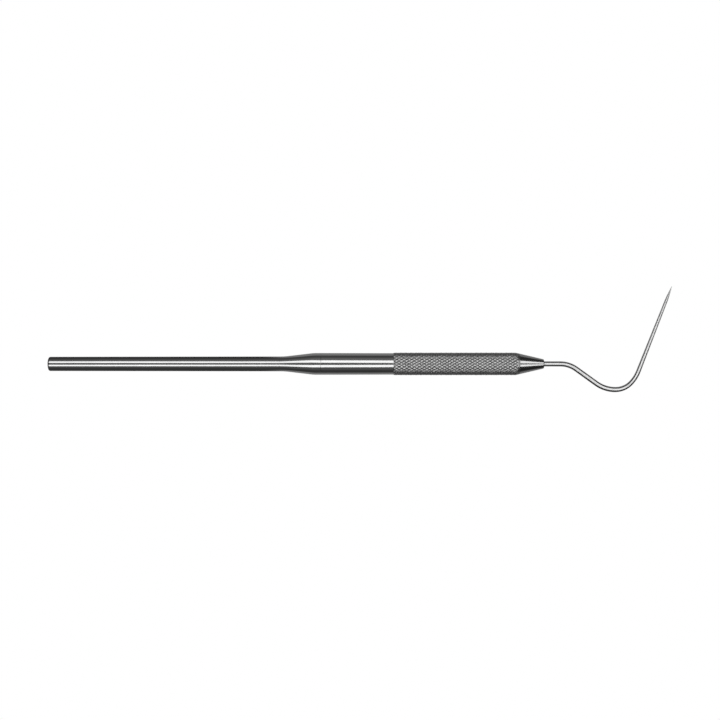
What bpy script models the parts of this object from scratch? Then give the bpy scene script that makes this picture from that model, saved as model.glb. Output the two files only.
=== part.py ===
"""Dental explorer: a slim hollow handle with a knurled grip, and a bent steel wire ground to a point.

The handle's axis is the X axis, and the origin is the centre of its flat rear face. The
instrument lies as it does on a tray, on its grip and its point: +Z is up, and +Y is the
side that the point turns to. Everything is in metres.

The handle is seven pieces pressed into each other: a plug closes the rear of the tail
tube, a shoulder collar joins the tail tube to the barrel tube, the grip sleeve sits on the
barrel's long neck, and the nose cone in the barrel's mouth holds the wire.
"""

import math

import bpy
from mathutils import Vector

MM = 0.001

# Stations along the handle, measured from the flat rear face.
TAIL_LENGTH = 61.2 * MM
BARREL_REAR = 72.2 * MM
GRIP_REAR = 91.4 * MM
GRIP_FRONT = 124.7 * MM
NOSE_FRONT = 131.3 * MM

# Outside radii.
TAIL_REAR_RADIUS = 1.87 * MM
TAIL_FRONT_RADIUS = 1.96 * MM
BARREL_REAR_RADIUS = 2.88 * MM
BARREL_FRONT_RADIUS = 2.84 * MM
GRIP_RADIUS = 3.02 * MM
NOSE_FRONT_RADIUS = 1.22 * MM
TAIL_EDGE = 0.45 * MM
SEAM_EDGE = 0.05 * MM
NOSE_RIM = 0.25 * MM

# The flare between the tail and the barrel: a short cone whose two corners are blended by arcs.
FLARE_REAR = 62.4 * MM
FLARE_FRONT = 70.2 * MM
FLARE_REAR_BLEND = 1.2 * MM
FLARE_FRONT_BLEND = 0.8 * MM
BLEND_STEPS = 5

# The cone that is turned across the grip's front edge and the nose.
NOSE_TAPER = 0.2340

# Bores, spigots and the small clearance that fitted pieces keep.
TAIL_BORE = 1.30 * MM
BARREL_BORE = 1.75 * MM
NECK_RADIUS = 2.30 * MM
WIRE_BORE = 0.73 * MM
CLEARANCE = 0.02 * MM
SPIGOT_LENGTH = 5.0 * MM
SPIGOT_CHAMFER = 0.3 * MM
NECK_SETBACK = 0.1 * MM
SOCKET_DEPTH = 10.0 * MM
SOCKET_SLACK = 0.4 * MM
SOCKET_FLOOR = 2.0 * MM

# The wire: straights and bends in one plane, from the nose to the point.
EXIT_LENGTH = 4.4 * MM
DOWN_BEND = math.radians(36.5)
DOWN_BEND_RADIUS = 7.0 * MM
SLOPE_LENGTH = 6.45 * MM
BELLY_REAR_RADIUS = 8.4 * MM
BELLY_BEND = math.radians(46.0)
BELLY_FRONT_RADIUS = 5.9 * MM
LAST_BEND = math.radians(21.0)
LAST_BEND_RADIUS = 10.2 * MM
ARM_LENGTH = 24.9 * MM
BEND_STEP = math.radians(6.0)
ARM_STEPS = 6

# The wire's radius, even up to the belly, and then the taper and ogive of its point.
WIRE_RADIUS = 0.69 * MM
LAST_BEND_WIRE_RADIUS = 0.62 * MM
ARM_START_RADIUS = 0.59 * MM
ARM_END_RADIUS = 0.41 * MM
OGIVE_LENGTH = 4.4 * MM
OGIVE_STEPS = 8
OGIVE_POWER = 1.45
POINT_RADIUS = 0.05 * MM

SEGMENTS = 40
WIRE_BEVEL_RESOLUTION = 4
MERGE = 0.000002
SHARP_ANGLE = math.radians(30.0)


def steel(name, colour, roughness):
    """Stainless steel: every piece of this instrument is metal."""
    material = bpy.data.materials.new(name)
    material.use_nodes = True
    shader = material.node_tree.nodes["Principled BSDF"]
    shader.inputs["Base Color"].default_value = (*colour, 1.0)
    shader.inputs["Roughness"].default_value = roughness
    shader.inputs["Metallic"].default_value = 1.0
    return material


def guide(name, collection):
    """An empty that places the pieces parented to it."""
    empty = bpy.data.objects.new(name, None)
    empty.empty_display_size = 0.01
    collection.objects.link(empty)
    return empty


def turned(name, profile, material, axis, collection):
    """A piece turned about the handle's axis from (station, radius) points.

    The points run along the outside from the front to the rear. A hollow piece's points
    come back through its bore, and a solid piece's begin and end on the axis.
    """
    mesh = bpy.data.meshes.new(name)
    count = len(profile)
    solid = profile[0][1] == 0.0
    last = count - 1 if solid else count
    edges = [(index, (index + 1) % count) for index in range(last)]
    mesh.from_pydata([(radius, 0.0, station) for station, radius in profile], edges, [])
    piece = bpy.data.objects.new(name, mesh)
    collection.objects.link(piece)
    piece.parent = axis
    mesh.materials.append(material)
    screw = piece.modifiers.new("Turn", "SCREW")
    screw.axis = "Z"
    screw.steps = SEGMENTS
    screw.render_steps = SEGMENTS
    screw.use_merge_vertices = True
    screw.merge_threshold = MERGE
    piece.data = shaded_mesh(piece)
    piece.modifiers.clear()


def shaded_mesh(piece):
    """The piece's evaluated mesh, shaded smooth apart from its turned edges."""
    graph = bpy.context.evaluated_depsgraph_get()
    mesh = bpy.data.meshes.new_from_object(piece.evaluated_get(graph), depsgraph=graph)
    mesh.shade_smooth()
    mesh.set_sharp_from_angle(angle=SHARP_ANGLE)
    return mesh


def blended_corner(before, corner, after, reach):
    """The arc, as points, that rounds a corner over this reach along the line on each side."""
    entry = corner + (before - corner).normalized() * reach
    leave = corner + (after - corner).normalized() * reach
    points = []
    for step in range(BLEND_STEPS + 1):
        share = step / BLEND_STEPS
        points.append(entry.lerp(corner, share).lerp(corner.lerp(leave, share), share))
    return [tuple(point) for point in points]


def nose_radius(station):
    """The radius of the cone that both the grip's front edge and the nose follow."""
    return NOSE_FRONT_RADIUS + (NOSE_FRONT - station) * NOSE_TAPER


def rear_end_plug_profile():
    radius = TAIL_BORE - CLEARANCE
    return [
        (SPIGOT_LENGTH, 0.0),
        (SPIGOT_LENGTH, radius - SPIGOT_CHAMFER),
        (SPIGOT_LENGTH - SPIGOT_CHAMFER, radius),
        (0.0, radius),
        (0.0, 0.0),
    ]


def tail_tube_profile():
    return [
        (TAIL_LENGTH, TAIL_FRONT_RADIUS - SEAM_EDGE),
        (TAIL_LENGTH - SEAM_EDGE, TAIL_FRONT_RADIUS),
        (TAIL_EDGE, TAIL_REAR_RADIUS),
        (0.0, TAIL_REAR_RADIUS - TAIL_EDGE),
        (0.0, TAIL_BORE),
        (TAIL_LENGTH, TAIL_BORE),
    ]


def shoulder_collar_profile():
    """A spigot for the barrel, the land and flare that show, and a spigot for the tail."""
    rear_face = TAIL_LENGTH + CLEARANCE
    front_face = BARREL_REAR - CLEARANCE
    barrel_spigot = BARREL_BORE - CLEARANCE
    tail_spigot = TAIL_BORE - CLEARANCE
    land = Vector((front_face, BARREL_REAR_RADIUS))
    shoulder = Vector((FLARE_FRONT, BARREL_REAR_RADIUS))
    foot = Vector((FLARE_REAR, TAIL_FRONT_RADIUS))
    tail = Vector((rear_face, TAIL_FRONT_RADIUS))
    front_tip = front_face + SPIGOT_LENGTH
    rear_tip = rear_face - SPIGOT_LENGTH
    return [
        (front_tip, 0.0),
        (front_tip, barrel_spigot - SPIGOT_CHAMFER),
        (front_tip - SPIGOT_CHAMFER, barrel_spigot),
        (front_face, barrel_spigot),
        (front_face, BARREL_REAR_RADIUS - SEAM_EDGE),
        (front_face - SEAM_EDGE, BARREL_REAR_RADIUS),
        *blended_corner(land, shoulder, foot, FLARE_FRONT_BLEND),
        *blended_corner(shoulder, foot, tail, FLARE_REAR_BLEND - 2 * SEAM_EDGE),
        (rear_face, TAIL_FRONT_RADIUS - SEAM_EDGE),
        (rear_face, tail_spigot),
        (rear_tip + SPIGOT_CHAMFER, tail_spigot),
        (rear_tip, tail_spigot - SPIGOT_CHAMFER),
        (rear_tip, 0.0),
    ]


def barrel_tube_profile():
    """The plain barrel, and the neck that runs on under the whole grip."""
    neck_front = GRIP_FRONT - NECK_SETBACK
    return [
        (neck_front, NECK_RADIUS),
        (GRIP_REAR, NECK_RADIUS),
        (GRIP_REAR, BARREL_FRONT_RADIUS),
        (BARREL_REAR + SEAM_EDGE, BARREL_REAR_RADIUS),
        (BARREL_REAR, BARREL_REAR_RADIUS - SEAM_EDGE),
        (BARREL_REAR, BARREL_BORE),
        (neck_front, BARREL_BORE),
    ]


def grip_sleeve_profile():
    """The sleeve at the height of its knurl's crests, with its front edge cut by the nose's cone."""
    rear_face = GRIP_REAR + CLEARANCE
    bore = NECK_RADIUS + CLEARANCE
    crest_front = NOSE_FRONT - (GRIP_RADIUS - NOSE_FRONT_RADIUS) / NOSE_TAPER
    return [
        (GRIP_FRONT, nose_radius(GRIP_FRONT)),
        (crest_front, GRIP_RADIUS),
        (rear_face + 2 * SEAM_EDGE, GRIP_RADIUS),
        (rear_face, GRIP_RADIUS - 2 * SEAM_EDGE),
        (rear_face, bore),
        (GRIP_FRONT, bore),
    ]


def nose_cone_profile():
    """The cone with its rounded rim, a spigot for the barrel's mouth and a blind socket for the wire."""
    rear_face = GRIP_FRONT + CLEARANCE
    spigot = BARREL_BORE - CLEARANCE
    socket_end = NOSE_FRONT - SOCKET_DEPTH - SOCKET_SLACK
    rear_tip = socket_end - SOCKET_FLOOR
    base = Vector((rear_face, nose_radius(rear_face)))
    rim = Vector((NOSE_FRONT, NOSE_FRONT_RADIUS))
    face = Vector((NOSE_FRONT, WIRE_BORE))
    return [
        (socket_end, 0.0),
        (socket_end, WIRE_BORE),
        (NOSE_FRONT, WIRE_BORE),
        *blended_corner(face, rim, base, NOSE_RIM),
        (rear_face, nose_radius(rear_face)),
        (rear_face, spigot),
        (rear_tip + SPIGOT_CHAMFER, spigot),
        (rear_tip, spigot - SPIGOT_CHAMFER),
        (rear_tip, 0.0),
    ]


class Path:
    """A line drawn in a plane from straights and bends, with the wire's radius at each point."""

    def __init__(self, along, radius):
        self.place = Vector((along, 0.0))
        self.heading = 0.0
        self.points = [(self.place.copy(), radius)]

    def forward(self, length, radius):
        self.place += length * Vector((math.cos(self.heading), math.sin(self.heading)))
        self.points.append((self.place.copy(), radius))

    def bend(self, angle, bend_radius, start_radius, end_radius):
        steps = math.ceil(abs(angle) / BEND_STEP)
        chord = 2 * bend_radius * math.sin(abs(angle) / steps / 2)
        for step in range(1, steps + 1):
            self.heading += angle / steps / 2
            share = step / steps
            self.forward(chord, start_radius + (end_radius - start_radius) * share)
            self.heading += angle / steps / 2


def wire_path():
    """The wire from the bottom of its socket, along its bends and its arm, to its point."""
    path = Path(NOSE_FRONT - SOCKET_DEPTH, WIRE_RADIUS)
    path.forward(SOCKET_DEPTH, WIRE_RADIUS)
    path.forward(EXIT_LENGTH, WIRE_RADIUS)
    path.bend(-DOWN_BEND, DOWN_BEND_RADIUS, WIRE_RADIUS, WIRE_RADIUS)
    path.forward(SLOPE_LENGTH, WIRE_RADIUS)
    path.bend(DOWN_BEND, BELLY_REAR_RADIUS, WIRE_RADIUS, WIRE_RADIUS)
    path.bend(BELLY_BEND, BELLY_FRONT_RADIUS, WIRE_RADIUS, LAST_BEND_WIRE_RADIUS)
    path.bend(LAST_BEND, LAST_BEND_RADIUS, LAST_BEND_WIRE_RADIUS, ARM_START_RADIUS)
    for step in range(1, ARM_STEPS + 1):
        radius = ARM_START_RADIUS + (ARM_END_RADIUS - ARM_START_RADIUS) * step / ARM_STEPS
        path.forward((ARM_LENGTH - OGIVE_LENGTH) / ARM_STEPS, radius)
    for step in range(1, OGIVE_STEPS + 1):
        share = step / OGIVE_STEPS
        radius = POINT_RADIUS + (ARM_END_RADIUS - POINT_RADIUS) * (1.0 - share**OGIVE_POWER)
        path.forward(OGIVE_LENGTH / OGIVE_STEPS, radius)
    return path.points


def resting_roll(points):
    """How far the wire's plane turns down before the wire meets the surface that the grip lies on."""
    reach = [(place.y, radius) for place, radius in points if place.y > GRIP_RADIUS]
    return min(math.asin((GRIP_RADIUS - radius) / side) for side, radius in reach)


def working_end(material, collection):
    """The wire, a curve in its own XY plane swept with its changing radius and closed by its caps."""
    points = wire_path()
    curve = bpy.data.curves.new("working_end_path", "CURVE")
    curve.dimensions = "3D"
    curve.bevel_depth = 1.0
    curve.bevel_resolution = WIRE_BEVEL_RESOLUTION
    curve.use_fill_caps = True
    spline = curve.splines.new("POLY")
    spline.points.add(len(points) - 1)
    for point, (place, radius) in zip(spline.points, points):
        point.co = (place.x, place.y, 0.0, 1.0)
        point.radius = radius
    piece = bpy.data.objects.new("working_end", curve)
    piece.rotation_euler = (-resting_roll(points), 0.0, 0.0)
    curve.materials.append(material)
    collection.objects.link(piece)
    weld = piece.modifiers.new("Join caps", "WELD")
    weld.merge_threshold = MERGE


def build():
    for leftover in list(bpy.data.objects):
        bpy.data.objects.remove(leftover)
    collection = bpy.data.collections.new("dental_explorer")
    bpy.context.scene.collection.children.link(collection)
    axis = guide("handle_axis", collection)
    axis.rotation_euler = (0.0, math.pi / 2, 0.0)
    turned_pieces = (
        ("rear_end_plug", rear_end_plug_profile(), (0.56, 0.56, 0.56), 0.30),
        ("tail_tube", tail_tube_profile(), (0.60, 0.60, 0.60), 0.22),
        ("shoulder_collar", shoulder_collar_profile(), (0.60, 0.60, 0.60), 0.22),
        ("barrel_tube", barrel_tube_profile(), (0.60, 0.60, 0.60), 0.22),
        ("grip_sleeve", grip_sleeve_profile(), (0.50, 0.50, 0.50), 0.38),
        ("nose_cone", nose_cone_profile(), (0.55, 0.55, 0.55), 0.25),
    )
    for name, profile, colour, roughness in turned_pieces:
        turned(name, profile, steel(name + "_steel", colour, roughness), axis, collection)
    working_end(steel("working_end_steel", (0.62, 0.62, 0.62), 0.28), collection)


build()
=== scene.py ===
"""Looks for the dental explorer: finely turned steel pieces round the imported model, in a small studio.

Each visible piece replaces one CAD node. Stations run along the handle's axis, X, from
its rear face, and come from the CAD nodes' boxes. Everything is in metres.
"""

import math

import bpy
import numpy as np
from mathutils import Matrix, Vector


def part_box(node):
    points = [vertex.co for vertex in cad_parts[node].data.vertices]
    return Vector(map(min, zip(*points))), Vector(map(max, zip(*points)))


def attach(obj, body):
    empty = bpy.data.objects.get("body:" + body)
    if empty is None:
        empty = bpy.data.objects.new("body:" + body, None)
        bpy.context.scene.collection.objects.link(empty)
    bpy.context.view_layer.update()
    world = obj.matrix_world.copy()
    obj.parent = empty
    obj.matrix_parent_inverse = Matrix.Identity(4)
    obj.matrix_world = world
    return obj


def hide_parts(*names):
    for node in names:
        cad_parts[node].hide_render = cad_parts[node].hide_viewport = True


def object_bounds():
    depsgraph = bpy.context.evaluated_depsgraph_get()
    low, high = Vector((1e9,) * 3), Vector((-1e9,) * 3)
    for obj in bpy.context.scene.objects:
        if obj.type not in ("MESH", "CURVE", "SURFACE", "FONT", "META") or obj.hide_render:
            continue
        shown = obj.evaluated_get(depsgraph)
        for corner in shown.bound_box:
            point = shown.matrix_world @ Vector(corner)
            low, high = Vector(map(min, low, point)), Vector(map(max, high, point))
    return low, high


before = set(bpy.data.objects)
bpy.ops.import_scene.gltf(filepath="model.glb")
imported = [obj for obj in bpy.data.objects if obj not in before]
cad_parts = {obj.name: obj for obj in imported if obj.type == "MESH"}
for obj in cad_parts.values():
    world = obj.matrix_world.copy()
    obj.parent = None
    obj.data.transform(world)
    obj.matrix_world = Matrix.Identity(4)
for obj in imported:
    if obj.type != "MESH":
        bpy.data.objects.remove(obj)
cad_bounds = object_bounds()

MM = 0.001
TAU = 2 * math.pi

# Mesh quality of the turned pieces and the wire.
SEGMENTS = 144
BLEND_STEPS = 8
SUPPORT = 0.03 * MM
SHORTEST_EDGE = 6 * SUPPORT
LONGEST_STEP = 4.0 * MM
SHARP_ANGLE = math.radians(32.0)
WIRE_SIDES = 40
WIRE_STEP = 0.5 * MM
BEND_STEP = math.radians(1.5)

# Fits and edges of the handle's pieces.
CLEARANCE = 0.02 * MM
TAIL_BORE = 1.30 * MM
BARREL_BORE = 1.75 * MM
NECK_RADIUS = 2.30 * MM
SOCKET_BORE = 0.71 * MM
SPIGOT_LENGTH = 5.0 * MM
SPIGOT_CHAMFER = 0.3 * MM
FINE_EDGE = 0.015 * MM
SEAM_EDGE = 0.06 * MM
TAIL_EDGE = 0.45 * MM
TAIL_REAR_RADIUS = 1.87 * MM
BARREL_FRONT_RADIUS = 2.84 * MM

# The flare: a short cone with blended corners.
FLARE_REAR = 62.4 * MM
FLARE_FRONT = 70.2 * MM
FLARE_REAR_BLEND = 1.1 * MM
FLARE_FRONT_BLEND = 0.8 * MM

# The diamond knurl: two crossing sets of grooves that wind round the grip both ways. One set is
# shallower, and the crests are worn in wandering patches.
KNURL_PITCHES = 25
KNURL_STARTS = 20
KNURL_DEPTH = 0.18 * MM
KNURL_SHALLOWER = 0.85
KNURL_SAMPLES = 8
KNURL_REAR_CHAMFER = 0.15 * MM
KNURL_WEAR = 0.2
KNURL_WEAR_LENGTH = 4.0 * MM
KNURL_WEAR_LOBES = (3.0, 7.0)
KNURL_WEAR_SWAY = 2.0
KNURL_WEAR_SLOW = 0.3

# The nose's cone, which also cuts the grip's front edge.
NOSE_TAPER = 0.2340
NOSE_FRONT_RADIUS = 1.22 * MM
NOSE_RIM = 0.25 * MM
SOCKET_DEPTH = 10.0 * MM
SOCKET_SLACK = 0.4 * MM

# The wire's straights and bends, in one plane. It is a hair finer than the CAD wire, whose flats
# make it narrower than its radius says.
EXIT_LENGTH = 4.4 * MM
DOWN_BEND = math.radians(36.5)
DOWN_BEND_RADIUS = 7.0 * MM
SLOPE_LENGTH = 6.45 * MM
BELLY_REAR_RADIUS = 8.4 * MM
BELLY_BEND = math.radians(46.0)
BELLY_FRONT_RADIUS = 5.9 * MM
LAST_BEND = math.radians(21.0)
LAST_BEND_RADIUS = 10.2 * MM
ARM_LENGTH = 24.9 * MM
WIRE_RADIUS = 0.683 * MM
LAST_BEND_WIRE_RADIUS = 0.614 * MM
ARM_START_RADIUS = 0.584 * MM
ARM_END_RADIUS = 0.405 * MM
OGIVE_LENGTH = 4.4 * MM
OGIVE_STEPS = 40
OGIVE_POWER = 1.45
POINT_RADIUS = 0.03 * MM


def outer_radius(node):
    """The largest radius of a turned CAD node."""
    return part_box(node)[1].z


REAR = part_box("tail_tube")[0].x
TAIL_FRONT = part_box("tail_tube")[1].x
BARREL_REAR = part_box("barrel_tube")[0].x
NECK_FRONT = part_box("barrel_tube")[1].x
GRIP_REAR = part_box("grip_sleeve")[0].x
GRIP_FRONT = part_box("grip_sleeve")[1].x
NOSE_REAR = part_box("nose_cone")[0].x
NOSE_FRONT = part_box("nose_cone")[1].x
TAIL_FRONT_RADIUS = outer_radius("tail_tube")
BARREL_REAR_RADIUS = outer_radius("barrel_tube")
GRIP_RADIUS = outer_radius("grip_sleeve")
KNURL_PITCH = (GRIP_FRONT - GRIP_REAR) / KNURL_PITCHES


# ---------------------------------------------------------------- shapes


def rounded(corners):
    """A closed outline from (station, radius, reach) corners, each blended over its reach."""
    points = []
    for index, (station, radius, reach) in enumerate(corners):
        corner = Vector((station, radius))
        if not reach:
            points.append(corner)
            continue
        before = Vector(corners[index - 1][:2])
        after = Vector(corners[(index + 1) % len(corners)][:2])
        entry = corner + (before - corner).normalized() * reach
        leave = corner + (after - corner).normalized() * reach
        for step in range(BLEND_STEPS + 1):
            share = step / BLEND_STEPS
            points.append(entry.lerp(corner, share).lerp(corner.lerp(leave, share), share))
    return points


def supported(points):
    """The outline with a point close to each end of its long edges, which keeps them shaded true."""
    result = []
    for here, there in zip(points, points[1:] + points[:1]):
        result.append(here)
        length = (there - here).length
        if length < SHORTEST_EDGE or (here.y == 0 and there.y == 0):
            continue
        inner = length - 2 * SUPPORT
        steps = max(1, math.ceil(inner / LONGEST_STEP))
        for step in range(steps + 1):
            result.append(here.lerp(there, (SUPPORT + inner * step / steps) / length))
    return result


def finished_object(name, vertices, faces, material, node):
    """A mesh object that replaces a CAD node and rides on the root body."""
    mesh = bpy.data.meshes.new(name)
    mesh.from_pydata(vertices, [], faces)
    mesh.shade_smooth()
    mesh.set_sharp_from_angle(angle=SHARP_ANGLE)
    mesh.materials.append(material)
    piece = bpy.data.objects.new(name, mesh)
    bpy.context.scene.collection.objects.link(piece)
    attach(piece, "root")
    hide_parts(node)
    return piece


def turned(corners):
    """Vertices and faces of a body turned about X from corners along its outside, front to rear."""
    outline = supported(rounded(corners))
    vertices = []
    rings = []
    for point in outline:
        first = len(vertices)
        if point.y == 0:
            vertices.append((point.x, 0.0, 0.0))
            rings.append([first] * SEGMENTS)
            continue
        for step in range(SEGMENTS):
            angle = TAU * step / SEGMENTS
            vertices.append((point.x, point.y * math.sin(angle), point.y * math.cos(angle)))
        rings.append(list(range(first, first + SEGMENTS)))
    faces = []
    for ring, following in zip(rings, rings[1:] + rings[:1]):
        for step in range(SEGMENTS):
            after = (step + 1) % SEGMENTS
            corners_of_face = (ring[step], ring[after], following[after], following[step])
            face = tuple(dict.fromkeys(corners_of_face))
            if len(face) > 2:
                faces.append(face)
    return vertices, faces


def nose_radius(station):
    """The cone's radius at a station."""
    return NOSE_FRONT_RADIUS + (NOSE_FRONT - station) * NOSE_TAPER


def rear_end_plug():
    radius = TAIL_BORE - CLEARANCE / 2
    front = REAR + SPIGOT_LENGTH
    return turned([
        (front, 0.0, 0.0),
        (front, radius - SPIGOT_CHAMFER, 0.0),
        (front - SPIGOT_CHAMFER, radius, 0.0),
        (REAR, radius, FINE_EDGE),
        (REAR, 0.0, 0.0),
    ])


def tail_tube():
    return turned([
        (TAIL_FRONT, TAIL_FRONT_RADIUS, FINE_EDGE),
        (REAR, TAIL_REAR_RADIUS, TAIL_EDGE),
        (REAR, TAIL_BORE, FINE_EDGE),
        (TAIL_FRONT, TAIL_BORE, FINE_EDGE),
    ])


def shoulder_collar():
    rear_face = TAIL_FRONT + CLEARANCE / 2
    front_face = BARREL_REAR - CLEARANCE / 2
    rear_tip = rear_face - SPIGOT_LENGTH
    front_tip = front_face + SPIGOT_LENGTH
    tail_spigot = TAIL_BORE - CLEARANCE
    barrel_spigot = BARREL_BORE - CLEARANCE
    return turned([
        (front_tip, 0.0, 0.0),
        (front_tip, barrel_spigot - SPIGOT_CHAMFER, 0.0),
        (front_tip - SPIGOT_CHAMFER, barrel_spigot, 0.0),
        (front_face, barrel_spigot, 0.0),
        (front_face, BARREL_REAR_RADIUS, SEAM_EDGE),
        (FLARE_FRONT, BARREL_REAR_RADIUS, FLARE_FRONT_BLEND),
        (FLARE_REAR, TAIL_FRONT_RADIUS, FLARE_REAR_BLEND),
        (rear_face, TAIL_FRONT_RADIUS, FINE_EDGE),
        (rear_face, tail_spigot, 0.0),
        (rear_tip + SPIGOT_CHAMFER, tail_spigot, 0.0),
        (rear_tip, tail_spigot - SPIGOT_CHAMFER, 0.0),
        (rear_tip, 0.0, 0.0),
    ])


def barrel_tube():
    barrel_front = GRIP_REAR - CLEARANCE
    return turned([
        (NECK_FRONT, NECK_RADIUS, 0.0),
        (barrel_front, NECK_RADIUS, 0.0),
        (barrel_front, BARREL_FRONT_RADIUS, SEAM_EDGE),
        (BARREL_REAR, BARREL_REAR_RADIUS, SEAM_EDGE),
        (BARREL_REAR, BARREL_BORE, 0.0),
        (NECK_FRONT, BARREL_BORE, 0.0),
    ])


def nose_cone():
    rear_face = GRIP_FRONT + CLEARANCE / 2
    spigot = BARREL_BORE - CLEARANCE
    socket_end = NOSE_FRONT - SOCKET_DEPTH - SOCKET_SLACK
    return turned([
        (socket_end, 0.0, 0.0),
        (socket_end, SOCKET_BORE, 0.0),
        (NOSE_FRONT, SOCKET_BORE, FINE_EDGE),
        (NOSE_FRONT, NOSE_FRONT_RADIUS, NOSE_RIM),
        (rear_face, nose_radius(rear_face), FINE_EDGE),
        (rear_face, spigot, 0.0),
        (NOSE_REAR + SPIGOT_CHAMFER, spigot, 0.0),
        (NOSE_REAR, spigot - SPIGOT_CHAMFER, 0.0),
        (NOSE_REAR, 0.0, 0.0),
    ])


def knurl_radius(station, angle):
    """The grip's radius, by arrays: crossing grooves between worn crests, cut by the end cones."""
    along = (station - GRIP_REAR) / KNURL_PITCH
    around = angle * KNURL_STARTS / TAU
    height = np.ones_like(along)
    for phase, share in ((along + around, KNURL_SHALLOWER), (along - around, 1.0)):
        from_groove = np.abs(phase - np.round(phase))
        depth = share * (1.0 - np.sin(from_groove * math.pi))
        height = np.minimum(height, 1.0 - depth)
    cycle = TAU * station / KNURL_WEAR_LENGTH
    few, many = KNURL_WEAR_LOBES
    patches = np.sin(cycle + KNURL_WEAR_SWAY * np.sin(few * angle))
    patches = patches * np.sin(many * angle + KNURL_WEAR_SWAY * np.sin(KNURL_WEAR_SLOW * cycle))
    height = height * (1.0 - KNURL_WEAR * (0.5 + 0.5 * patches))
    radius = GRIP_RADIUS - KNURL_DEPTH * (1.0 - height)
    rear_cone = GRIP_RADIUS - KNURL_REAR_CHAMFER + (station - GRIP_REAR)
    return np.minimum(radius, np.minimum(rear_cone, nose_radius(station)))


def grip_sleeve():
    """A grid of squares split into four triangles each, so that both sets of grooves run along edges."""
    columns = KNURL_PITCHES * KNURL_SAMPLES
    rows = KNURL_STARTS * KNURL_SAMPLES

    def surface(column, row):
        """Points at these grid places, whole or half."""
        station = GRIP_REAR + column * KNURL_PITCH / KNURL_SAMPLES
        angle = row * TAU / rows
        radius = knurl_radius(station, angle)
        return np.stack([station, radius * np.sin(angle), radius * np.cos(angle)], axis=-1)

    column, row = np.meshgrid(np.arange(columns + 1.0), np.arange(float(rows)), indexing="ij")
    corners = surface(column, row)
    middles = surface(column[:-1] + 0.5, row[:-1] + 0.5)
    bore_scale = (NECK_RADIUS + CLEARANCE) / np.hypot(corners[[0, -1], :, 1], corners[[0, -1], :, 2])
    bore = corners[[0, -1]] * np.stack([np.ones_like(bore_scale), bore_scale, bore_scale], axis=-1)
    vertices = np.concatenate([part.reshape(-1, 3) for part in (corners, middles, bore)])

    first_middle = corners.shape[0] * rows
    rear_bore = first_middle + columns * rows
    front_bore = rear_bore + rows
    last_ring = columns * rows
    faces = []
    for row_index in range(rows):
        after = (row_index + 1) % rows
        for column_index in range(columns):
            start = column_index * rows
            square = (start + row_index, start + after, start + rows + after, start + rows + row_index)
            middle = first_middle + start + row_index
            for here, there in zip(square, square[1:] + square[:1]):
                faces.append((there, here, middle))
        faces.append((row_index, after, rear_bore + after, rear_bore + row_index))
        faces.append((rear_bore + row_index, rear_bore + after, front_bore + after, front_bore + row_index))
        faces.append((front_bore + row_index, front_bore + after, last_ring + after, last_ring + row_index))
    return vertices.tolist(), faces


class WirePath:
    """The wire's centreline in its own plane: each point's place, heading and wire radius."""

    def __init__(self, along):
        self.place = Vector((along, 0.0))
        self.heading = 0.0
        self.points = [(self.place.copy(), 0.0, WIRE_RADIUS)]

    def forward(self, length, radius):
        self.place += length * Vector((math.cos(self.heading), math.sin(self.heading)))
        self.points.append((self.place.copy(), self.heading, radius))

    def straight(self, length, start_radius, end_radius):
        steps = max(1, math.ceil(length / WIRE_STEP))
        for step in range(1, steps + 1):
            self.forward(length / steps, start_radius + (end_radius - start_radius) * step / steps)

    def bend(self, angle, bend_radius, start_radius, end_radius):
        steps = math.ceil(abs(angle) / BEND_STEP)
        chord = 2 * bend_radius * math.sin(abs(angle) / steps / 2)
        for step in range(1, steps + 1):
            share = step / steps
            self.heading += angle / steps / 2
            self.forward(chord, start_radius + (end_radius - start_radius) * share)
            self.heading += angle / steps / 2
            place, _, radius = self.points[-1]
            self.points[-1] = (place, self.heading, radius)


def wire_path():
    path = WirePath(NOSE_FRONT - SOCKET_DEPTH)
    path.straight(SOCKET_DEPTH + EXIT_LENGTH, WIRE_RADIUS, WIRE_RADIUS)
    path.bend(-DOWN_BEND, DOWN_BEND_RADIUS, WIRE_RADIUS, WIRE_RADIUS)
    path.straight(SLOPE_LENGTH, WIRE_RADIUS, WIRE_RADIUS)
    path.bend(DOWN_BEND, BELLY_REAR_RADIUS, WIRE_RADIUS, WIRE_RADIUS)
    path.bend(BELLY_BEND, BELLY_FRONT_RADIUS, WIRE_RADIUS, LAST_BEND_WIRE_RADIUS)
    path.bend(LAST_BEND, LAST_BEND_RADIUS, LAST_BEND_WIRE_RADIUS, ARM_START_RADIUS)
    path.straight(ARM_LENGTH - OGIVE_LENGTH, ARM_START_RADIUS, ARM_END_RADIUS)
    for step in range(1, OGIVE_STEPS + 1):
        share = step / OGIVE_STEPS
        radius = POINT_RADIUS + (ARM_END_RADIUS - POINT_RADIUS) * (1.0 - share**OGIVE_POWER)
        path.forward(OGIVE_LENGTH / OGIVE_STEPS, radius)
    return path.points


def resting_roll(points):
    """How far the wire's plane turns down before the wire meets the surface that the grip lies on."""
    reach = [(place.y, radius) for place, _, radius in points if place.y > GRIP_RADIUS]
    return min(math.asin((GRIP_RADIUS - radius) / side) for side, radius in reach)


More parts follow.
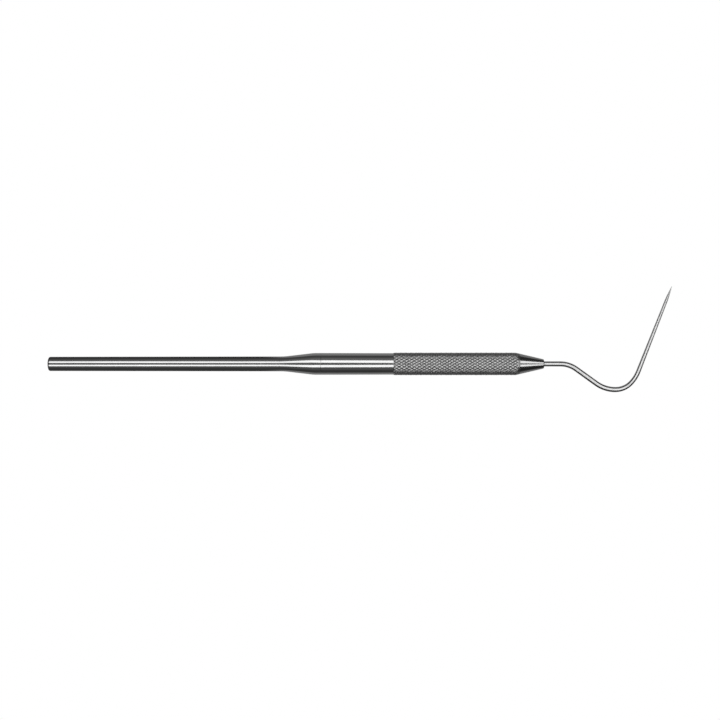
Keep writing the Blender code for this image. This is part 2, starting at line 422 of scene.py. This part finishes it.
def working_end():
    """Rings swept along the path and turned down to the surface, closed by a face at each end."""
    points = wire_path()
    roll = Matrix.Rotation(-resting_roll(points), 3, "X")
    vertices = []
    for place, heading, radius in points:
        across = Vector((-math.sin(heading), math.cos(heading), 0.0))
        for step in range(WIRE_SIDES):
            angle = TAU * step / WIRE_SIDES
            offset = across * math.cos(angle) + Vector((0.0, 0.0, math.sin(angle)))
            vertices.append(roll @ (Vector((*place, 0.0)) + offset * radius))
    last = (len(points) - 1) * WIRE_SIDES
    faces = []
    for start in range(0, last, WIRE_SIDES):
        for step in range(WIRE_SIDES):
            after = (step + 1) % WIRE_SIDES
            faces.append((start + step, start + after, start + WIRE_SIDES + after, start + WIRE_SIDES + step))
    faces.append(tuple(reversed(range(WIRE_SIDES))))
    faces.append(tuple(range(last, last + WIRE_SIDES)))
    return vertices, faces


# ---------------------------------------------------------------- materials

# Where the wire's finish turns from drawn to ground, how much rougher that is, and both tones. The paler tone
# along the arm is a painted sheen; the rougher finish is the wire's own.
GROUND_REAR = 152.0 * MM
GROUND_FRONT = 161.0 * MM
GROUND_ROUGHER = 0.18
WIRE_TONE_AND_ARM_SHEEN = (0.58, 0.76)

# The knurl's tones and roughness, in its grooves and on its crests, and how far its grain varies. The
# grooves' darker tone is painted shade.
KNURL_SHADED_GROOVE_TONES = (0.31, 0.66)
KNURL_ROUGHNESS = (0.37, 0.31)
KNURL_GRAIN = 0.05

# The range that most of a noise texture's values fall in.
NOISE_RANGE = (0.3, 0.7)


def grey(tone):
    return (tone, tone, tone)


class Nodes:
    """A short way to write the node tree of a material or a world."""

    def __init__(self, owner, shader="Principled BSDF"):
        owner.use_nodes = True
        self.tree = owner.node_tree
        self.shader = self.tree.nodes[shader]

    def add(self, kind, links=(), **settings):
        node = self.tree.nodes.new(kind)
        for name, value in settings.items():
            setattr(node, name, value)
        for socket, source in dict(links).items():
            self.set(node, socket, source)
        return node

    def set(self, node, socket, source):
        if isinstance(source, bpy.types.NodeSocket):
            self.tree.links.new(source, node.inputs[socket])
        else:
            node.inputs[socket].default_value = source

    def noise(self, stretch, detail=3.0, roughness=0.6):
        """Noise in the piece's own metres, with this many features a metre along each axis."""
        place = self.add("ShaderNodeTexCoord").outputs["Object"]
        scaled = self.add("ShaderNodeMapping", {"Vector": place, "Scale": stretch}).outputs["Vector"]
        links = {"Vector": scaled, "Scale": 1.0, "Detail": detail, "Roughness": roughness}
        return self.add("ShaderNodeTexNoise", links).outputs["Fac"]

    def span(self, value, low, high, to_low, to_high, kind="LINEAR"):
        """The value's range low to high mapped to another."""
        links = {"Value": value, "From Min": low, "From Max": high, "To Min": to_low, "To Max": to_high}
        return self.add("ShaderNodeMapRange", links, interpolation_type=kind).outputs["Result"]

    def ease(self, value, low, high, to_low, to_high):
        """The same, with soft ends."""
        return self.span(value, low, high, to_low, to_high, "SMOOTHSTEP")

    def math(self, operation, first, second=0.0):
        """One step of arithmetic on two values."""
        return self.add("ShaderNodeMath", {0: first, 1: second}, operation=operation).outputs["Value"]

    def parts(self, space):
        """The three coordinates of a point or direction in a texture space."""
        place = self.add("ShaderNodeTexCoord").outputs[space]
        return self.add("ShaderNodeSeparateXYZ", {"Vector": place}).outputs

    def blend(self, factor, first, second):
        """One colour where the factor is 0 and the other where it is 1."""
        node = self.add("ShaderNodeMix", data_type="RGBA")
        self.set(node, 0, factor)
        self.set(node, 6, (*first, 1.0))
        self.set(node, 7, (*second, 1.0))
        return node.outputs[2]

    def bump(self, height, distance, strength, under=None):
        """A bump whose full height is this distance, on top of another."""
        links = {"Height": height, "Distance": distance, "Strength": strength}
        if under is not None:
            links["Normal"] = under
        return self.add("ShaderNodeBump", links).outputs["Normal"]


def polished_steel(name, dark, light, smoothest, roughest, lines, line_depth, ripple_depth):
    """Stainless steel with fine polish lines, a slight ripple in its reflections and soft tone changes.

    The lines are features a metre along each axis.
    """
    material = bpy.data.materials.new(name)
    nodes = Nodes(material)
    cloud = nodes.noise((120.0, 300.0, 300.0))
    line = nodes.noise(lines, detail=4.0)
    ripple = nodes.noise((160.0, 260.0, 260.0), detail=1.0)
    tone = nodes.span(cloud, *NOISE_RANGE, 0.0, 1.0)
    nodes.set(nodes.shader, "Base Color", nodes.blend(tone, grey(dark), grey(light)))
    nodes.set(nodes.shader, "Roughness", nodes.span(line, *NOISE_RANGE, smoothest, roughest))
    nodes.set(nodes.shader, "Metallic", 1.0)
    rippled = nodes.bump(ripple, ripple_depth, 1.0)
    nodes.set(nodes.shader, "Normal", nodes.bump(line, line_depth, 1.0, rippled))
    return material


def wire_steel():
    """Polished drawn steel that turns to a rougher ground satin along the arm, paler there by a painted
    sheen.
    """
    material = bpy.data.materials.new("wire_steel")
    nodes = Nodes(material)
    ground_and_sheen = nodes.ease(nodes.parts("Object")["X"], GROUND_REAR, GROUND_FRONT, 0.0, 1.0)
    grain = nodes.noise((2500.0, 2500.0, 2500.0), detail=4.0)
    # Painted sheen: the arm's base colour is paler than the drawn wire's.
    nodes.set(nodes.shader, "Base Color", nodes.blend(ground_and_sheen, *map(grey, WIRE_TONE_AND_ARM_SHEEN)))
    drawn = nodes.span(grain, *NOISE_RANGE, 0.22, 0.26)
    rougher = nodes.math("MULTIPLY", ground_and_sheen, GROUND_ROUGHER)
    nodes.set(nodes.shader, "Roughness", nodes.math("ADD", drawn, rougher))
    nodes.set(nodes.shader, "Metallic", 1.0)
    nodes.set(nodes.shader, "Normal", nodes.bump(grain, 0.0002 * MM, 1.0))
    return material


def grip_steel():
    """The knurl's steel: rubbed crests in plain steel tone, and dull grooves, darker by painted shade."""
    material = bpy.data.materials.new("grip_steel")
    nodes = Nodes(material)
    parts = nodes.parts("Object")
    across = nodes.add("ShaderNodeCombineXYZ", {"Y": parts["Y"], "Z": parts["Z"]}).outputs["Vector"]
    radius = nodes.add("ShaderNodeVectorMath", {0: across}, operation="LENGTH").outputs["Value"]
    height = nodes.span(radius, GRIP_RADIUS - KNURL_DEPTH, GRIP_RADIUS, 0.0, 1.0)
    grain = nodes.noise((5000.0, 5000.0, 5000.0), detail=4.0)
    # Painted shade: the grooves' base colour is darker than the crests'.
    nodes.set(nodes.shader, "Base Color", nodes.blend(height, *map(grey, KNURL_SHADED_GROOVE_TONES)))
    roughness = nodes.span(height, 0.0, 1.0, *KNURL_ROUGHNESS)
    varied = nodes.span(grain, *NOISE_RANGE, -KNURL_GRAIN, KNURL_GRAIN)
    nodes.set(nodes.shader, "Roughness", nodes.math("ADD", roughness, varied))
    nodes.set(nodes.shader, "Metallic", 1.0)
    nodes.set(nodes.shader, "Normal", nodes.bump(grain, 0.004 * MM, 1.0))
    return material


def build_pieces():
    handle = polished_steel("handle_steel", dark=0.57, light=0.64, smoothest=0.08, roughest=0.12,
                            lines=(60.0, 5000.0, 5000.0), line_depth=0.0001 * MM, ripple_depth=0.002 * MM)
    plug = polished_steel("plug_steel", dark=0.52, light=0.60, smoothest=0.20, roughest=0.34,
                          lines=(4000.0, 2500.0, 2500.0), line_depth=0.002 * MM, ripple_depth=0.001 * MM)
    # The nose's steel is the handle's steel with darker tones: painted shade.
    nose = polished_steel("nose_steel", dark=0.50, light=0.56, smoothest=0.14, roughest=0.17,
                          lines=(9000.0, 300.0, 300.0), line_depth=0.0008 * MM, ripple_depth=0.001 * MM)
    makers = (
        (rear_end_plug, "plug", plug, "handle_steel"),
        (tail_tube, "tail", handle, "handle_steel"),
        (shoulder_collar, "shoulder", handle, "handle_steel"),
        (barrel_tube, "barrel", handle, "handle_steel"),
        (grip_sleeve, "knurled_grip", grip_steel(), "grip_steel"),
        (nose_cone, "nose", nose, "nose_steel"),
        (working_end, "wire", wire_steel(), "wire_steel"),
    )
    for maker, name, material, slot in makers:
        vertices, faces = maker()
        finished_object(name, vertices, faces, material, maker.__name__)


# ---------------------------------------------------------------- studio

CAMERA_DISTANCE = 306.0 * MM
CAMERA_LENS = 57.65
CAMERA_AIM = (82.52 * MM, 1.035 * MM)

# Two long softboxes hang above the object, one each side of its axis. Each has, at its ends and
# its bends, its distance forward of the camera's aim and its inner and outer angle from straight
# up in degrees.
LIGHT_HEIGHT = 0.42
LIGHT_RADIANCE = 1.6
FAR_LIGHT = (
    (-0.30, 19.0, 43.0),
    (0.02, 12.2, 37.0),
    (0.07, 1.0, 33.0),
    (0.24, 1.0, 31.0),
    (0.32, 9.0, 38.0),
    (0.45, 9.0, 38.0),
)
NEAR_LIGHT = (
    (-0.30, 15.0, 38.0),
    (0.02, 10.4, 34.8),
    (0.07, 1.0, 31.0),
    (0.24, 1.0, 31.0),
    (0.32, 9.0, 33.0),
    (0.45, 9.0, 33.0),
)

# The room as the steel reflects it: its radiance low down and high up on the +Y side and on the
# other, and the shares that are left overhead and towards the handle's ends. The ranges are of a
# direction's height, its sideways part, and its part along the handle.
FAR_ROOM = (0.083, 0.19)
NEAR_ROOM = (0.05, 0.11)
FAR_RISE = (0.24, 0.64)
NEAR_RISE = (0.2, 0.6)
SIDE_CHANGE = (-0.1, 0.1)
OVERHEAD_RANGE = (0.93, 0.99)
OVERHEAD_SHARE = 0.8
ENDS_RANGE = (0.25, 0.5)
ENDS_SHARE = 0.3

# The lit patch of the surface under the barrel and the grip, how softly it ends, and its middle and
# reach to the sides. Past its front only the +Y side is lit.
FLOOR_REACH = 3.0
PATCH_REAR = 60.0 * MM
PATCH_FRONT = 140.0 * MM
PATCH_MIDDLE = 6.0 * MM
PATCH_SIDE = 26.0 * MM
PATCH_SOFTNESS = 8.0 * MM
PATCH_RADIANCE = 0.27
SURFACE_RADIANCE = 0.05


def glow(name):
    """A plain white emitting material, as its nodes and the emission whose strength is still to set."""
    material = bpy.data.materials.new(name)
    nodes = Nodes(material)
    emission = nodes.add("ShaderNodeEmission")
    nodes.set(nodes.tree.nodes["Material Output"], "Surface", emission.outputs["Emission"])
    return material, nodes, emission


def lit_patch():
    """The surface as the steel reflects it: dim, with a lit patch that goes on to the +Y side in front."""
    material, nodes, emission = glow("floor_reflected")
    place = nodes.parts("Object")
    rear = nodes.ease(place["X"], PATCH_REAR - PATCH_SOFTNESS / 2, PATCH_REAR + PATCH_SOFTNESS / 2, 0.0, 1.0)
    front = nodes.ease(place["X"], PATCH_FRONT - PATCH_SOFTNESS, PATCH_FRONT, 1.0, 0.0)
    aside = nodes.math("ABSOLUTE", nodes.math("SUBTRACT", place["Y"], PATCH_MIDDLE))
    side = nodes.ease(aside, PATCH_SIDE - PATCH_SOFTNESS, PATCH_SIDE, 1.0, 0.0)
    beyond = nodes.ease(place["Y"], -PATCH_SOFTNESS, 0.0, 0.0, 1.0)
    lit = nodes.math("MULTIPLY", nodes.math("MULTIPLY", rear, side), nodes.math("MAXIMUM", front, beyond))
    nodes.set(emission, "Strength", nodes.span(lit, 0.0, 1.0, SURFACE_RADIANCE, PATCH_RADIANCE))
    return material


def room():
    """The world: a dim room in reflections, and plain white behind the object."""
    world = bpy.data.worlds.new("studio")
    nodes = Nodes(world, "Background")
    direction = nodes.parts("Generated")
    far = nodes.ease(direction["Z"], *FAR_RISE, *FAR_ROOM)
    near = nodes.ease(direction["Z"], *NEAR_RISE, *NEAR_ROOM)
    side = nodes.ease(direction["Y"], *SIDE_CHANGE, 0.0, 1.0)
    walls = nodes.math("ADD", nodes.math("MULTIPLY", far, side),
                       nodes.math("MULTIPLY", near, nodes.math("SUBTRACT", 1.0, side)))
    overhead = nodes.ease(direction["Z"], *OVERHEAD_RANGE, 1.0, OVERHEAD_SHARE)
    ends = nodes.ease(nodes.math("ABSOLUTE", direction["X"]), *ENDS_RANGE, 1.0, ENDS_SHARE)
    dim = nodes.math("MULTIPLY", walls, nodes.math("MULTIPLY", overhead, ends))
    seen = nodes.add("ShaderNodeLightPath").outputs["Is Camera Ray"]
    nodes.set(nodes.shader, "Color", (1.0, 1.0, 1.0, 1.0))
    nodes.set(nodes.shader, "Strength", nodes.math("MAXIMUM", dim, seen))
    return world


def staged_surface(name, corners, faces, material, seen_by_camera):
    """A studio surface that only the camera sees, or only reflections do."""
    mesh = bpy.data.meshes.new(name)
    mesh.from_pydata(corners, [], faces)
    mesh.materials.append(material)
    surface = bpy.data.objects.new(name, mesh)
    bpy.context.scene.collection.objects.link(surface)
    surface.visible_camera = seen_by_camera
    surface.visible_glossy = not seen_by_camera
    surface.visible_diffuse = False
    surface.visible_shadow = False


def floor():
    """One white surface for the camera, and one for reflections."""
    level = cad_bounds[0].z
    signs = ((-1, -1), (1, -1), (1, 1), (-1, 1))
    corners = [(x * FLOOR_REACH, y * FLOOR_REACH, level) for x, y in signs]
    staged_surface("floor", corners, [(0, 1, 2, 3)], glow("floor_white")[0], True)
    staged_surface("floor_reflected", corners, [(0, 1, 2, 3)], lit_patch(), False)


def softbox(name, side, stations):
    """A long bent light above one side of the object, which only reflections see."""
    corners = []
    for forward, inner, outer in stations:
        for angle in (inner, outer):
            aside = math.tan(math.radians(angle)) * LIGHT_HEIGHT
            corners.append((CAMERA_AIM[0] + forward, side * aside, LIGHT_HEIGHT))
    faces = [(at, at + 1, at + 3, at + 2) for at in range(0, len(corners) - 2, 2)]
    material, nodes, emission = glow(name)
    nodes.set(emission, "Strength", LIGHT_RADIANCE)
    staged_surface(name, corners, faces, material, False)


def studio():
    scene = bpy.context.scene
    scene.view_settings.view_transform = "Standard"
    scene.world = room()
    softbox("softbox_far", 1.0, FAR_LIGHT)
    softbox("softbox_near", -1.0, NEAR_LIGHT)
    floor()
    camera_data = bpy.data.cameras.new("camera")
    camera_data.sensor_width = 36.0
    camera_data.lens = CAMERA_LENS
    camera_data.clip_start = 0.01
    camera_data.clip_end = 20.0
    camera = bpy.data.objects.new("camera", camera_data)
    camera.location = (*CAMERA_AIM, CAMERA_DISTANCE)
    scene.collection.objects.link(camera)
    scene.camera = camera


build_pieces()
studio()
